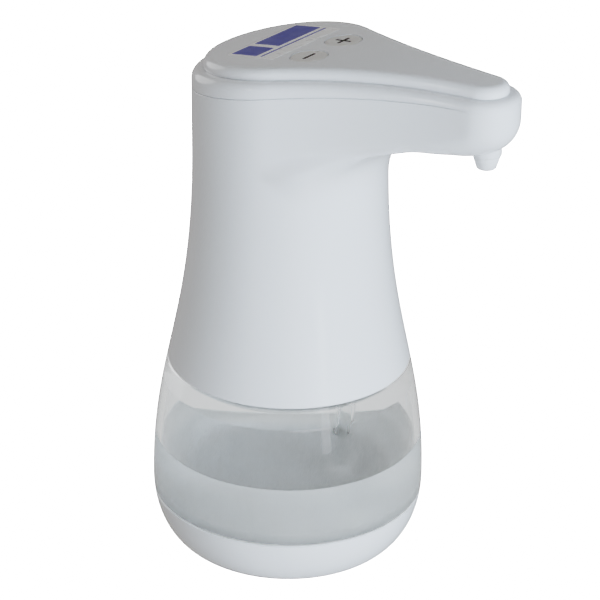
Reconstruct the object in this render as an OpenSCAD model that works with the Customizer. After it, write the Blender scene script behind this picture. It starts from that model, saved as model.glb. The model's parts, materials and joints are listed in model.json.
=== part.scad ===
// Free-standing touchless soap dispenser.
// A clear soap bottle in a white foot carries a pump head with a spout arm.
// Origin: centre of the resting face. +Z is up and the spout points along -Y.

/* [Body] */
// Radius of the flat under the foot
foot_flat_r = 34; // [30:0.5:36]
// Largest radius of the body, at the belly
belly_r = 48.1; // [46:0.1:50]
// Height of the belly
belly_z = 24; // [20:1:28]
// Radius of the body under the arm
top_r = 33.4; // [33:0.1:34.5]
// Height where the bell curve ends and the upright top begins
bell_end_z = 150; // [145:1:155]
// Wall of the shell
wall = 2; // [1.6:0.1:2.4]

/* [Bottle] */
// Height of the rim of the foot
foot_rim_z = 20.4; // [18:0.1:22]
// Height of the seam between the bottle and the skirt
skirt_z = 71; // [69:0.5:73]
// Wall of the bottle
bottle_wall = 2.4; // [2:0.1:2.8]
// Outer radius of the neck
neck_r = 37.4; // [37:0.1:37.6]
// Height of the neck rim
neck_z = 85; // [84:0.5:86]

/* [Arm] */
// Reach of the spout's tip centre from the axis
tip_u = 78.2; // [76:0.1:80]
// Radius of the tip in plan
tip_r = 12; // [11:0.1:13]
// Radius of the hollow sides between body and tip
side_r = 186; // [160:1:220]
// Height of the seam above the axis
seam_z = 177.1; // [176.5:0.1:178]
// Distance of the seam's highest line from the axis
seam_u = 111; // [100:1:115]
// Height of the tiers' base above the axis
base_z = 177.5; // [177:0.1:179]
// Radius of the crowned top
crown_r = 575; // [500:5:650]
// Distance of the crown's highest line from the axis
crown_u = 92; // [85:1:100]
// Height of the trim band above the tiers' base
band_h = 5.3; // [4.6:0.1:5.6]
// Height of the top face above the tiers' base
top_h = 8.9; // [8.4:0.1:9.2]
// Inset of the upper tier
tier_in = 4; // [3.5:0.1:4.4]

/* [Buttons] */
// Distance of the buttons from the axis, towards the spout
btn_u = 14.7; // [13:0.1:16]
// Half of the distance between the buttons
btn_x = 9.2; // [7.8:0.1:9.4]
// Radius of a button
btn_r = 6.2; // [5.8:0.1:6.4]
// Radial gap round a button
btn_gap = 0.25; // [0.15:0.05:0.35]

/* [Pump] */
// Module of the gears
gear_m = 0.6; // [0.6]
// Teeth of the pump gear
gear_teeth = 48; // [48]
// Teeth of the motor pinion
pinion_teeth = 12; // [12]
// Inner radius of the pump track
track_r = 13.6; // [13.4:0.1:13.8]
// Radius of a roller
roller_r = 3.6; // [3.4:0.1:3.8]
// Number of rollers
roller_count = 3; // [3]

/* [Power] */
// Radius of a size AA cell
cell_r = 7.25; // [7.25]
// Length of a size AA cell
cell_len = 50.5; // [50.5]
// Half of the pitch of the cells
cell_pitch = 7.5; // [7.4:0.1:7.7]

/* [Hidden] */
$fn = 96;
eps = 0.01;
run_gap = 0.05;

// Crowned top: a large cylinder lying along X
crown_z = base_z - sqrt(crown_r * crown_r - crown_u * crown_u);
seam_mid_z = seam_z - sqrt(crown_r * crown_r - seam_u * seam_u);
seam_gap = 0.3;
function crown_at(u, h) = crown_z + sqrt(pow(crown_r + h, 2) - pow(u - crown_u, 2));
btn_tilt = asin((crown_u - btn_u) / (crown_r + top_h));

// Reach of the bell curve's two handles
bell_low = 47;
bell_high = 66;

// Levels inside the head
deck_z = 87.6;
deck_t = 2.5;
deck_top = deck_z + deck_t;
deck_r = outside(deck_top) - wall - 0.15;
collar_out = 34.7;
collar_wall = 2.1;
box_front = -5;
box_back = 27;
box_half = 16;
box_clip_r = 29.6;
box_wall = 1.3;
cell_mid_y = (box_front + box_back) / 2;
cell_z = deck_top + 4.2;
box_top = 149.5;
plate_t = 2;
plate_top = box_top + plate_t;

// Pump and gear train
pump_y = 2;
gear_a = gear_m * (gear_teeth + pinion_teeth) / 2;
motor_x = -9.5;
motor_y = pump_y - sqrt(gear_a * gear_a - motor_x * motor_x);
motor_dir = atan2(motor_y - pump_y, motor_x);
gear_z = 152.5;
gear_t = 4;
pressure = 25;
backlash = 0.12;
shaft_r = 1;
rotor_shaft_r = 2;
housing_z = 158;
housing_r = 16;
housing_top = 169;
floor_t = 2;
lid_t = 1.8;
disc_r = 10.4;
disc_t = 1.2;
tube_flat = 2;
roller_reach = track_r - tube_flat - 0.1;
roller_orbit = roller_reach - roller_r;
roller_z = 161.7;
roller_h = 5.4;
roller_pin_r = 1.3;
ear_orbit = 18;
ear_angles = [20, 90, 160];
tube_r = 2.5;
tube_z = 164.4;
port_r = 16.5;
strip_h = 6.4;
strip_over = 12;

// Soap path
feed_x = 9;
feed_y = -17;
suction_r = 3;
suction_bore = 2;
nozzle_u = 80;
boss_r = 4.9;
boss_z = 168.8;
boss_top = 174.8;
nozzle_low = boss_z - 4.6;
window_z = 167.8;
sensor_u = 60;
under_near_z = 159.8;
under_far_z = 169.6;
under_far_u = 67;
tip_low_z = 169.9;
post_x = 25;
post_y = 8;
tab_r = 30;
tab_angles = [0, 180, 270];

// Radius of the outside at height z below the belly
function foot_radius(z) =
    foot_flat_r + (belly_r - foot_flat_r) * sqrt(1 - pow((belly_z - z) / belly_z, 2));

// Bell curve from the belly to the upright top: a cubic with upright ends
function mix4(a, b, c, d, t) =
    pow(1 - t, 3) * a + 3 * t * pow(1 - t, 2) * b + 3 * t * t * (1 - t) * c + pow(t, 3) * d;
function bell_point(t) = [
    mix4(belly_r, belly_r, top_r, top_r, t),
    mix4(belly_z, belly_z + bell_low, bell_end_z - bell_high, bell_end_z, t)
];
function bell_t(z, lo = 0, hi = 1, n = 24) =
    n == 0 ? (lo + hi) / 2 :
    bell_point((lo + hi) / 2)[1] < z ? bell_t(z, (lo + hi) / 2, hi, n - 1)
                                     : bell_t(z, lo, (lo + hi) / 2, n - 1);
function outside(z) =
    z < belly_z ? foot_radius(z) : z > bell_end_z ? top_r : bell_point(bell_t(z))[0];
function curve(z0, z1, n, inset) =
    [for (k = [0:n]) let (z = z0 + (z1 - z0) * k / n) [outside(z) - inset, z]];
function backwards(p) = [for (k = [len(p) - 1:-1:0]) p[k]];

// Plan outline of the head: body circle and tip circle with hollow sides.
// The side circles bite a hair into both, so that no edge is a mere touch.
side_bite = 0.03;
side_u = (pow(top_r + side_r, 2) - pow(tip_r + side_r, 2) + tip_u * tip_u) / (2 * tip_u);
side_x = sqrt(pow(top_r + side_r, 2) - side_u * side_u);
module outline(inset) {
    touch_body = top_r / (top_r + side_r);
    touch_tip = tip_r / (tip_r + side_r);
    body_pt = [side_x, -side_u] * touch_body;
    tip_pt = [side_x * touch_tip, -(tip_u + (side_u - tip_u) * touch_tip)];
    difference() {
        union() {
            circle(r = top_r - inset, $fn = 180);
            translate([0, -tip_u])
                circle(r = tip_r - inset);
            polygon([
                body_pt, tip_pt, [-tip_pt[0], tip_pt[1]], [-body_pt[0], body_pt[1]]
            ]);
        }
        for (s = [-1, 1])
            translate([s * side_x, -side_u])
                circle(r = side_r + inset + side_bite, $fn = 720);
    }
}
module under_crown(h)
    translate([0, -crown_u, crown_z])
        rotate([0, 90, 0])
            cylinder(r = crown_r + h, h = 120, center = true, $fn = 2000);
module under_seam(h)
    translate([0, -seam_u, seam_mid_z])
        rotate([0, 90, 0])
            cylinder(r = crown_r + h, h = 130, center = true, $fn = 2000);
module tier(inset, h0, h1)
    difference() {
        intersection() {
            translate([0, 0, 150])
                linear_extrude(60) outline(inset);
            under_crown(h1);
        }
        under_crown(h0);
    }

// Space under the arm, seen from the side and as wide as the head
module under_arm(inset) {
    slope = (under_far_z - under_near_z) / (under_far_u - top_r);
    tip_curve = tip_r - 0.4 - inset;
    tip_mid_z = tip_low_z + tip_r - 0.4;
    rotate([90, 0, -90])
        translate([0, 0, -40])
            linear_extrude(80)
                polygon(concat(
                    [
                        [0, 100],
                        [0, under_near_z - slope * top_r + inset],
                        [under_far_u, under_far_z + inset],
                        [nozzle_u - 4, tip_low_z + inset]
                    ],
                    [for (a = [-90:9:0]) [
                        tip_u + tip_curve * cos(a), tip_mid_z + tip_curve * sin(a)
                    ]],
                    [[tip_u + tip_curve, 230], [130, 230], [130, 100]]
                ));
}
module body_solid(inset, bottom) {
    rotate_extrude($fn = 180)
        polygon(concat(
            [[0, bottom]],
            curve(bottom, bell_end_z, 30, inset),
            [[0, bell_end_z]]
        ));
    difference() {
        intersection() {
            translate([0, 0, bell_end_z])
                linear_extrude(45) outline(inset);
            under_seam(0);
        }
        difference() {
            under_arm(inset);
            translate([0, 0, 90])
                cylinder(r = top_r - inset + 0.15, h = 120, $fn = 180);
        }
    }
}

// Involute tooth outline of a spur gear
function inv(a) = tan(a) * 180 / PI - a;
function tooth_half(z, rho) =
    let (r = gear_m * z / 2, rb = r * cos(pressure))
    90 / z - backlash / (4 * r) * 180 / PI + inv(pressure) - inv(acos(min(1, rb / rho)));
module spur(z, bore, t) {
    r = gear_m * z / 2;
    base = max(r * cos(pressure), r - 1.2 * gear_m);
    tip = r + 0.9 * gear_m;
    root = r - 1.25 * gear_m;
    rho = [for (k = [0:3]) base + (tip - base) * k / 3];
    difference() {
        linear_extrude(t)
            polygon([for (n = [0:z - 1]) let (c = 360 * n / z) each concat(
                [root * [cos(c - tooth_half(z, base)), sin(c - tooth_half(z, base))]],
                [for (q = rho) q * [cos(c - tooth_half(z, q)), sin(c - tooth_half(z, q))]],
                [for (k = [3:-1:0])
                    rho[k] * [cos(c + tooth_half(z, rho[k])), sin(c + tooth_half(z, rho[k]))]],
                [root * [cos(c + tooth_half(z, base)), sin(c + tooth_half(z, base))]]
            )]);
        translate([0, 0, -eps])
            cylinder(r = bore, h = t + 2 * eps);
    }
}

// A round cord swept along a route, its corners rounded by cutting
function cut_corners(p) = concat(
    [p[0]],
    [for (k = [0:len(p) - 2]) each [
        if (k > 0) p[k] * 0.75 + p[k + 1] * 0.25,
        if (k < len(p) - 2) p[k] * 0.25 + p[k + 1] * 0.75
    ]],
    [p[len(p) - 1]]
);
function unit(v) = v / norm(v);
function heading(p, k) = unit(p[min(k + 1, len(p) - 1)] - p[max(k - 1, 0)]);
module cord(route, r, sides = 10) {
    p = cut_corners(cut_corners(route));
    across = [1, 0.02, 0.01];
    rings = [for (k = [0:len(p) - 1]) let (
            d = heading(p, k),
            a = unit(across - d * (across * d)),
            b = cross(d, a)
        ) [for (j = [0:sides - 1])
            p[k] + r * (cos(360 * j / sides) * a + sin(360 * j / sides) * b)]];
    last = len(p) - 1;
    polyhedron(
        points = [for (ring = rings) each ring],
        faces = concat(
            [[for (j = [sides - 1:-1:0]) j]],
            [for (k = [0:last - 1], j = [0:sides - 1]) [
                k * sides + j,
                k * sides + (j + 1) % sides,
                (k + 1) * sides + (j + 1) % sides,
                (k + 1) * sides + j
            ]],
            [[for (j = [0:sides - 1]) last * sides + j]]
        )
    );
}

// Places that repeat
module ring(r_out, r_in, h)
    difference() {
        cylinder(r = r_out, h = h);
        translate([0, 0, -eps])
            cylinder(r = r_in, h = h + 2 * eps);
    }
module at_cells()
    for (i = [-1, 1], j = [-1, 1])
        translate([i * cell_pitch, cell_mid_y + j * cell_pitch, 0]) children();
module at_ears()
    for (a = ear_angles)
        translate([ear_orbit * cos(a), pump_y + ear_orbit * sin(a), 0]) children();
module at_tabs()
    for (a = tab_angles)
        rotate([0, 0, a]) translate([tab_r, 0, 0]) children();
module at_posts()
    for (s = [-1, 1])
        translate([s * post_x, post_y, 0]) children();
module at_motor() translate([motor_x, motor_y, 0]) children();
module at_pump() translate([0, pump_y, 0]) children();
module on_top()
    translate([0, -btn_u, crown_at(btn_u, top_h)])
        rotate([-btn_tilt, 0, 0]) children();
module screw(head_r, head_h, shank_r, shank_len) {
    difference() {
        cylinder(r = head_r, h = head_h);
        for (a = [0, 90])
            rotate([0, 0, a])
                translate([-head_r * 0.6, -0.3, -eps])
                    cube([head_r * 1.2, 0.6, head_h * 0.5]);
    }
    translate([0, 0, head_h])
        cylinder(r = shank_r, h = shank_len);
}

// ---- Bottle side -------------------------------------------------------
pad_r = 31.5;
pad_t = 1.5;
foot_low = 0.5;
cup_floor = 3.5;
module foot_cup() color("white")
    rotate_extrude($fn = 180)
        polygon(concat(
            [[0, pad_t], [pad_r + 0.2, pad_t], [pad_r + 0.2, foot_low]],
            curve(foot_low, foot_rim_z, 16, 0),
            backwards(curve(cup_floor, foot_rim_z, 10, wall)),
            [[0, cup_floor]]
        ));
module anti_slip_pad() color("dimgray")
    cylinder(r = pad_r, h = pad_t);
module bottle() color("lightcyan", 0.5)
    rotate_extrude($fn = 180)
        polygon(concat(
            [[0, cup_floor]],
            curve(cup_floor, foot_rim_z, 10, wall + 0.1),
            curve(foot_rim_z + 0.1, skirt_z - 0.2, 16, 0),
            [[outside(skirt_z) - 0.8, skirt_z + 0.4], [neck_r, skirt_z + 0.6], [neck_r, neck_z]],
            [[neck_r - bottle_wall, neck_z], [neck_r - bottle_wall, skirt_z - 2]],
            backwards(concat(
                curve(7, foot_rim_z, 6, wall + bottle_wall),
                curve(foot_rim_z + 3, skirt_z - 7, 14, bottle_wall)
            )),
            [[outside(7) - wall - bottle_wall - 3, 6], [0, 6]]
        ));
module neck_seal() color("gainsboro")
    translate([0, 0, neck_z])
        ring(deck_r, collar_out + 0.1, deck_z - neck_z);

// ---- Shells of the head -----------------------------------------------
module nozzle_boss()
    translate([0, -nozzle_u, boss_z])
        cylinder(r = boss_r, h = boss_top - boss_z);
module body_shell() color("white")
    difference() {
        union() {
            body_solid(0, skirt_z + 0.5);
            nozzle_boss();
        }
        difference() {
            body_solid(wall, skirt_z + 0.4);
            nozzle_boss();
            translate([0, 0, deck_top])
                at_tabs() translate([-4, -4, 0]) cube([20, 8, 6]);
            for (s = [-1, 1])
                translate([s * (post_x + 4), post_y, 168.5])
                    cube([14, 6, 9], center = true);
        }
        at_tabs() translate([0, 0, deck_z])
            cylinder(r = 1.2, h = 20);
        at_posts() translate([0, 0, 160])
            cylinder(r = 1.2, h = 20);
        translate([0, -nozzle_u, 150])
            cylinder(r = 3.6, h = 30);
        translate([0, -sensor_u, 150])
            cylinder(r = 3.2, h = 30);
    }
module trim_band() color("whitesmoke")
    difference() {
        union() {
            difference() {
                tier(0, -4, band_h);
                under_seam(seam_gap);
            }
            tier(wall + 0.7, -3, 2.5);
        }
        translate([0, 0, 150])
            linear_extrude(60) outline(tier_in + 0.2);
    }
module top_cover() color("lightgray")
    difference() {
        union() {
            difference() {
                union() {
                    tier(tier_in, band_h + 0.1, top_h);
                    tier(tier_in + 0.35, band_h - 2.5, band_h + 0.5);
                }
                difference() {
                    translate([0, 0, 150])
                        linear_extrude(60) outline(tier_in + 2.2);
                    translate([0, -crown_u, crown_z])
                        difference() {
                            rotate([0, 90, 0])
                                cylinder(r = crown_r + top_h + 9, h = 120, center = true, $fn = 2000);
                            rotate([0, 90, 0])
                                cylinder(r = crown_r + top_h - 1.8, h = 121, center = true, $fn = 2000);
                        }
                }
            }
            intersection() {
                union() {
                    at_posts() translate([0, 0, 173.2])
                        cylinder(r = 2.6, h = 20);
                    on_top()
                        for (i = [-12.5, 12.5], j = [-9, 9])
                            translate([i, j, -8.1])
                                cylinder(r = 1.6, h = 8);
                }
                under_crown(top_h - 1);
            }
        }
        at_posts() translate([0, 0, 173])
            cylinder(r = 1.1, h = 6.5);
        on_top()
            for (s = [-1, 1])
                translate([s * btn_x, 0, -6])
                    cylinder(r = btn_r + btn_gap, h = 12);
    }
label_x = [-17, 20];
label_u = [-14, 5.5];
label_t = 0.15;
module top_label() color("mediumslateblue")
    intersection() {
        difference() {
            under_crown(top_h + label_t);
            under_crown(top_h);
        }
        translate([label_x[0], -label_u[1], 170])
            cube([label_x[1] - label_x[0], label_u[1] - label_u[0], 30]);
    }
module cover_screws() color("silver")
    at_posts() translate([0, 0, 162.4])
        screw(2.2, 1.6, 1.05, 14);

// ---- Deck and power ----------------------------------------------------
module clip_square(grow) {
    intersection() {
        translate([-box_half - grow, box_front - grow])
            square([2 * (box_half + grow), box_back - box_front + 2 * grow]);
        circle(r = box_clip_r + grow);
    }
}
door_out = 0.8;
door_in = -0.7;
door_t = 1.5;
gasket_t = 0.5;
door_z = deck_z - gasket_t - door_t;
module deck_plate() color("white")
    difference() {
        union() {
            translate([0, 0, deck_z])
                cylinder(r = deck_r, h = deck_t, $fn = 180);
            translate([0, 0, 78])
                ring(collar_out, collar_out - collar_wall, deck_z - 78 + eps);
            translate([feed_x, feed_y, 80])
                cylinder(r = 4.6, h = deck_z - 80 + eps);
            translate([feed_x, feed_y, deck_z])
                cylinder(r = tube_r, h = 9);
        }
        translate([feed_x, feed_y, 70])
            cylinder(r = suction_r, h = deck_z - 70);
        translate([feed_x, feed_y, 80])
            cylinder(r = 1.5, h = 20);
        translate([0, 0, deck_z - 1])
            linear_extrude(10) clip_square(door_in + 0.2);
        at_tabs() translate([0, 0, 80])
            cylinder(r = 1.35, h = 20);
        translate([0, -10.5, 80])
            cylinder(r = 1.45, h = 20);
    }
module deck_screws() color("silver")
    at_tabs() translate([0, 0, deck_z - 1.5])
        screw(2.3, 1.5, 1.15, 7.5);
module battery_box() color("gainsboro")
    translate([0, 0, deck_top])
        difference() {
            linear_extrude(box_top - deck_top) clip_square(0);
            translate([0, 0, -1])
                linear_extrude(cell_z - deck_top + 1) clip_square(-box_wall);
            at_cells() cylinder(r = cell_r + 0.1, h = box_top - deck_top - 2);
            for (i = [-1, 1])
                translate([i * cell_pitch - 1.5, cell_mid_y - cell_pitch, 0])
                    cube([3, 2 * cell_pitch, box_top - deck_top - 2]);
        }
module batteries() color("goldenrod")
    at_cells() translate([0, 0, cell_z]) {
        cylinder(r = cell_r, h = cell_len - 1);
        translate([0, 0, cell_len - 1])
            cylinder(r = 2.75, h = 1);
    }
contact_z = cell_z + cell_len;
module battery_contacts() color("silver")
    at_cells() translate([0, 0, contact_z]) {
        cylinder(r = 3.2, h = box_top - 2 - 0.5 - contact_z);
        translate([0, 0, box_top - 2 - 0.5 - contact_z])
            cylinder(r = 6, h = 0.5);
    }
module battery_gasket() color("dimgray")
    translate([0, 0, deck_z - gasket_t])
        linear_extrude(gasket_t)
            difference() {
                clip_square(door_out);
                clip_square(door_in + 0.6);
            }
module battery_door() color("whitesmoke")
    difference() {
        union() {
            translate([0, 0, door_z])
                linear_extrude(door_t) {
                    clip_square(door_out);
                    translate([0, -8.5]) square([12, 9], center = true);
                }
            translate([0, 0, door_z])
                linear_extrude(deck_top - 0.1 - door_z) clip_square(door_in);
            translate([0, 0, door_z])
                linear_extrude(deck_top + 1 - door_z) clip_square(-box_wall - 0.2);
        }
        translate([0, -10.5, 80])
            cylinder(r = 1.3, h = 20);
        for (s = [-1, 1])
            translate([s * 9 - 3, cell_mid_y - 6, door_z - 1])
                cube([6, 12, 1.6]);
    }
module door_contacts() color("silver")
    at_cells() translate([0, 0, deck_top + 1]) {
        cylinder(r = 5.6, h = 0.5);
        difference() {
            cylinder(r1 = 4.4, r2 = 2.6, h = cell_z - deck_top - 1);
            translate([0, 0, 0.5])
                cylinder(r1 = 3.2, r2 = 1.6, h = 3);
        }
    }
module door_screw() color("silver")
    translate([0, -10.5, door_z - 1.5])
        screw(2.6, 1.5, 1.25, 6);

// ---- Motor and gears -----------------------------------------------------
can_z = 126;
can_half = 7.55;
can_r = 10;
module can_plan(inset)
    intersection() {
        circle(r = can_r - inset);
        square([3 * can_r, 2 * (can_half - inset)], center = true);
    }
module gear_plate() color("whitesmoke")
    difference() {
        union() {
            translate([0, 0, box_top])
                cylinder(r = 30.6, h = plate_t, $fn = 180);
            at_ears() translate([0, 0, box_top])
                cylinder(r = 2.1, h = housing_z - box_top);
        }
        at_motor() translate([0, 0, 140])
            cylinder(r = 3.15, h = 20);
        at_pump() translate([0, 0, 140])
            cylinder(r = rotor_shaft_r + run_gap, h = 20);
        translate([feed_x, feed_y, 140])
            cylinder(r = tube_r + 1, h = 20);
        for (q = [[-19, -19], [20, -4]])
            translate([q[0], q[1], 140])
                cylinder(r = 1.4, h = 20);
        at_ears() translate([0, 0, box_top + 3])
            cylinder(r = 1.05, h = 20);
    }
module motor_can() color("silver")
    at_motor() difference() {
        union() {
            translate([0, 0, can_z])
                linear_extrude(box_top - can_z) can_plan(0);
            translate([0, 0, box_top - eps])
                cylinder(r = 3, h = 1.5);
        }
        translate([0, 0, can_z - 1])
            linear_extrude(box_top - 0.9 - can_z + 1) can_plan(0.9);
        translate([0, 0, 120])
            cylinder(r = shaft_r + run_gap, h = 40);
    }
module motor_end_cap() color("dimgray")
    at_motor() translate([0, 0, can_z - 3]) difference() {
        union() {
            linear_extrude(3) can_plan(0);
            linear_extrude(5) can_plan(0.95);
        }
        translate([0, 0, -1])
            cylinder(r = shaft_r + run_gap, h = 10);
    }
module motor_magnets() color("slategray")
    at_motor() translate([0, 0, can_z + 4])
        linear_extrude(16)
            difference() {
                can_plan(1);
                circle(r = 6.1);
                square([9, 20], center = true);
            }
module motor_terminals() color("gold")
    at_motor() for (s = [-1, 1])
        translate([s * 5 - 0.9, -0.2, can_z - 6.5])
            cube([1.8, 0.4, 3.5]);
module motor_shaft() color("silver")
    at_motor() translate([0, 0, can_z - 2.6])
        cylinder(r = shaft_r, h = gear_z + gear_t + 0.5 - can_z + 2.6);
module motor_armature() color("peru")
    at_motor() translate([0, 0, can_z + 5.5]) difference() {
        union() {
            for (a = [0:120:240])
                rotate([0, 0, a])
                    translate([1.5, -1.7, 0])
                        cube([4.1, 3.4, 13]);
            cylinder(r = 2.4, h = 15);
        }
        translate([0, 0, -1])
            cylinder(r = shaft_r, h = 20);
    }
module motor_pinion() color("ivory")
    at_motor() translate([0, 0, gear_z])
        rotate([0, 0, motor_dir + 180 + 180 / pinion_teeth])
            spur(pinion_teeth, shaft_r, gear_t);
module pump_gear() color("ivory")
    at_pump() translate([0, 0, gear_z])
        rotate([0, 0, motor_dir])
            spur(gear_teeth, rotor_shaft_r, gear_t);

// ---- Pump ---------------------------------------------------------------
module pump_rotor() color("lightsteelblue")
    at_pump() {
        translate([0, 0, plate_top - 1.6])
            cylinder(r = rotor_shaft_r, h = housing_top + 1.4 - plate_top + 1.6);
        for (z = [roller_z - 0.1 - disc_t, roller_z + roller_h + 0.1])
            translate([0, 0, z])
                cylinder(r = disc_r, h = disc_t);
        translate([0, 0, roller_z - 0.2])
            cylinder(r = 3.4, h = roller_h + 0.4);
        for (k = [0:roller_count - 1])
            rotate([0, 0, 90 + 360 * k / roller_count])
                translate([roller_orbit, 0, roller_z - 0.2])
                    cylinder(r = roller_pin_r, h = roller_h + 0.4);
    }
module roller(k) color("white")
    at_pump() rotate([0, 0, 90 + 360 * k / roller_count])
        translate([roller_orbit, 0, roller_z])
            ring(roller_r, roller_pin_r + run_gap, roller_h);
module roller_1() roller(0);
module roller_2() roller(1);
module roller_3() roller(2);
port_dir = atan2(feed_y - pump_y, feed_x);
module port_slot(a)
    at_pump() rotate([0, 0, a])
        translate([track_r - 4, 0, tube_z])
            rotate([0, 90, 0])
                cylinder(r = tube_r, h = 8);
module pump_housing() color("gainsboro")
    difference() {
        union() {
            at_pump() translate([0, 0, housing_z])
                cylinder(r = housing_r, h = housing_top - housing_z);
            at_ears() translate([0, 0, housing_z])
                cylinder(r = 2.6, h = housing_top - housing_z);
        }
        at_pump() translate([0, 0, housing_z + floor_t])
            cylinder(r = track_r, h = 20);
        at_pump() translate([0, 0, housing_z - 1])
            cylinder(r = rotor_shaft_r + 0.3, h = 20);
        at_ears() translate([0, 0, housing_z - 1])
            cylinder(r = 1.1, h = 20);
        port_slot(port_dir);
        port_slot(180 - port_dir);
    }
module pump_lid() color("whitesmoke")
    difference() {
        union() {
            at_pump() translate([0, 0, housing_top])
                cylinder(r = housing_r, h = lid_t);
            at_ears() translate([0, 0, housing_top])
                cylinder(r = 2.6, h = lid_t);
        }
        at_pump() translate([0, 0, housing_top - 1])
            cylinder(r = rotor_shaft_r + run_gap, h = 20);
        at_ears() translate([0, 0, housing_top - 1])
            cylinder(r = 1.1, h = 20);
    }
module pump_screws() color("silver")
    at_ears() translate([0, 0, housing_top + lid_t + 1.2])
        mirror([0, 0, 1]) screw(2.2, 1.2, 1, 15);
module pump_tube() color("white", 0.8)
    at_pump() {
        translate([0, 0, tube_z - strip_h / 2])
            rotate([0, 0, port_dir - strip_over])
                rotate_extrude(angle = 180 - 2 * port_dir + 2 * strip_over)
                    translate([track_r - tube_flat, 0])
                        square([tube_flat, strip_h]);
        for (a = [port_dir, 180 - port_dir])
            rotate([0, 0, a])
                translate([track_r - tube_flat + 0.5, 0, tube_z])
                    rotate([0, 90, 0])
                        cylinder(r = tube_r, h = port_r - track_r + tube_flat - 0.5);
    }
port_pt = [port_r * cos(port_dir), pump_y + port_r * sin(port_dir), tube_z];
module feed_tube() color("white", 0.8)
    cord([
        port_pt, [feed_x, feed_y, tube_z] + [0.6, -1.2, 0], [feed_x, feed_y, tube_z - 6],
        [feed_x, feed_y, deck_z + 9]
    ], tube_r);
module delivery_tube() color("white", 0.8)
    cord([
        [-port_pt[0], port_pt[1], tube_z], [-8.8, -16.6, tube_z], [-8, -24, 166], [-3, -34, 171],
        [0, -44, 176], [0, -56, 179], [0, -68, 181.8], [0, -nozzle_u, 182.2],
        [0, -nozzle_u, 178], [0, -nozzle_u, nozzle_top]
    ], tube_r);
module suction_tube() color("aliceblue", 0.7)
    translate([feed_x, feed_y, 12])
        ring(suction_r, suction_bore, deck_z - 12);
module strainer() color("white")
    translate([feed_x, feed_y, 8.8])
        difference() {
            cylinder(r = 4.2, h = 7);
            translate([0, 0, 3.2])
                cylinder(r = suction_r, h = 10);
            translate([0, 0, -1])
                cylinder(r = 2.4, h = 10);
            for (a = [0:60:120])
                rotate([0, 0, a])
                    translate([-5, -0.6, -1])
                        cube([10, 1.2, 3]);
        }

// ---- Spout ----------------------------------------------------------------
nozzle_top = boss_top + 1.9;
module nozzle_tip() color("white")
    translate([0, -nozzle_u, 0])
        rotate_extrude()
            polygon([
                [1.7, nozzle_low], [3.1, nozzle_low], [3.4, nozzle_low + 0.3],
                [3.8, boss_z - 0.1], [3.55, boss_z - 0.1],
                [3.55, boss_top + 0.05], [4.4, boss_top + 0.05], [4.4, boss_top + 0.8],
                [2.6, boss_top + 0.8], [2.6, nozzle_top], [1.7, nozzle_top]
            ]);
module nozzle_valve() color("gainsboro")
    translate([0, -nozzle_u, 0])
        rotate_extrude()
            polygon([
                [0.5, nozzle_low + 0.8], [1.7, nozzle_low + 0.8],
                [1.7, boss_z + 1], [1.2, boss_z + 1]
            ]);
module sensor_window() color("black")
    translate([0, -sensor_u, 0]) {
        translate([0, 0, window_z])
            cylinder(r = 3.1, h = 3);
        translate([0, 0, window_z + 2.9])
            cylinder(r = 4, h = 0.5);
    }
module sensor_board() color("green")
    translate([-5.5, -sensor_u - 5, window_z + 6.6])
        cube([11, 10, 1]);
module ir_leds() color("darkslateblue")
    for (s = [-1, 1])
        translate([s * 1.9, -sensor_u, window_z + 3.4]) {
            translate([0, 0, 1.5])
                cylinder(r = 1.5, h = 1.7);
            intersection() {
                translate([0, 0, 1.5])
                    sphere(r = 1.5);
                cylinder(r = 2, h = 1.5);
            }
        }

// ---- Controls --------------------------------------------------------------
board_low = -9.7;
board_t = 1.6;
module control_board() color("darkgreen")
    on_top() translate([-15, -12, board_low])
        cube([30, 24, board_t]);
module tact_switches() color("dimgray")
    on_top() for (s = [-1, 1])
        translate([s * btn_x, 0, board_low + board_t]) {
            translate([-3, -3, 0])
                cube([6, 6, 2]);
            translate([0, 0, 2])
                cylinder(r = 1.6, h = 0.5);
        }
module board_components() color("black")
    on_top() {
        translate([-4, -4, board_low - 1.4])
            cube([8, 8, 1.4]);
        for (x = [-12, 9])
            translate([x, -9, board_low - 2.2])
                cube([3, 5, 2.2]);
        translate([9, 6, board_low - 3])
            cylinder(r = 2, h = 3);
    }
module wire_leads() color("firebrick") {
    cord([
        [motor_x - 5, motor_y, can_z - 6.8], [-15, -15, 115.5], [-19, -19, 117],
        [-19, -19, 135], [-19, -19, 155], [-19, -19, 168], [-14, -18, 174], [-13, -17, 178.6]
    ], 0.6, 8);
    cord([
        [16.8, 0, 145], [20, -3, 146], [20, -4, 150], [20, -4, 160], [19, -6, 170],
        [13, -10, 174], [12, -10, 177.9]
    ], 0.6, 8);
    cord([
        [6, -25, 179.8], [6, -25.8, 177.5], [8, -34, 179.5], [8, -44, 179.5], [6, -52, 178.4],
        [4.2, -57, 176.1]
    ], 0.6, 8);
}
module button_cap()
    union() {
        translate([0, 0, -2])
            cylinder(r = btn_r, h = 2);
        translate([0, 0, -2.9])
            cylinder(r = btn_r + 1.1, h = 0.95);
        translate([0, 0, -4.9])
            cylinder(r = 2, h = 2.1);
    }
module plus_button() color("lightgray")
    on_top() translate([btn_x, 0, 0]) button_cap();
module minus_button() color("lightgray")
    on_top() translate([-btn_x, 0, 0]) button_cap();

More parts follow.
